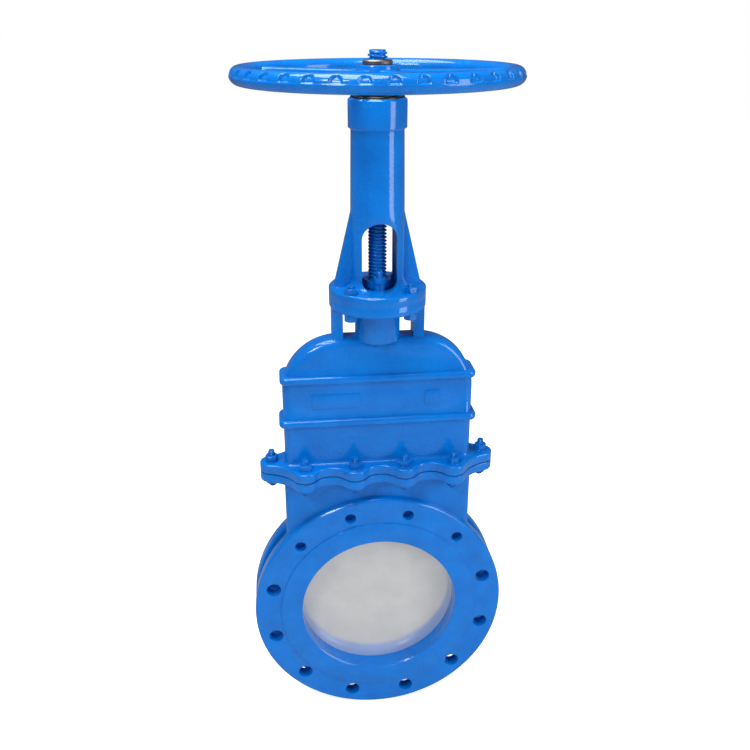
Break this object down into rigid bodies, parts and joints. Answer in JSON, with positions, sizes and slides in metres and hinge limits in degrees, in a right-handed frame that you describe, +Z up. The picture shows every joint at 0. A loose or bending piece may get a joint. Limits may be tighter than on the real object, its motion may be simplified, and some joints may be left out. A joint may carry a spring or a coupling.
{
  "type": "knife gate valve",
  "caption": "Flanged knife gate valve: cast body, bolted bonnet with gland, yoke column, rising threaded stem and round handwheel that lifts a steel gate plate.",
  "frame": {"origin": "centre of the front pipe flange's bolt circle, on its bolting face", "axes": "+X across the valve, +Y along the pipe from the front flange to the rear flange, +Z up the stem"},
  "size_m": [0.4, 0.382, 1.048],
  "materials": {
    "enamel": "gloss",
    "plate_steel": "satin",
    "zinc": "satin",
    "stem_steel": "satin",
    "seat_steel": "satin",
    "bronze": "satin",
    "black_oxide": "satin",
    "rubber": "matte",
    "fibre": "matte",
    "slide_plastic": "matte",
    "wheel_enamel": "gloss"
  },
  "bodies": {
    "valve_frame": {"valve_body": "enamel", "seat_ring_front": "enamel", "seat_ring_rear": "seat_steel", "seat_seal": "rubber", "gate_guide_left": "slide_plastic", "gate_guide_right": "slide_plastic", "bonnet_gasket": "fibre", "bonnet": "enamel", "bonnet_studs": "enamel", "bonnet_washers": "enamel", "bonnet_nuts_upper": "enamel", "bonnet_nuts_lower": "enamel", "packing_bush": "bronze", "packing_rings": "fibre", "gland_follower": "enamel", "gland_studs": "enamel", "gland_nuts": "enamel", "yoke": "enamel", "yoke_bolts": "enamel", "yoke_nuts": "enamel", "bearing_races_fixed": "stem_steel", "bearing_cap": "black_oxide", "bearing_balls": "stem_steel"},
    "wheel_and_nut": {"handwheel": "wheel_enamel", "stem_nut": "bronze", "wheel_key": "zinc", "wheel_lock_nut": "zinc", "bearing_races_turning": "stem_steel"},
    "stem_and_gate": {"stem": "stem_steel", "gate": "plate_steel", "stem_pins": "zinc"}
  },
  "joints": [
    {"name": "handwheel_spin", "type": "hinge", "parent": "valve_frame", "child": "wheel_and_nut", "pos_m": [0, 0.033, 0.819], "axis": [0, 0, 1], "range_deg": [0, 18720]},
    {"name": "stem_lift", "type": "slide", "parent": "valve_frame", "child": "stem_and_gate", "axis": [0, 0, 1], "range_m": [0, 0.26]}
  ],
  "couplings": [
    {"joint": "stem_lift", "follows": "handwheel_spin", "m_per_rad": 0.00079577}
  ]
}
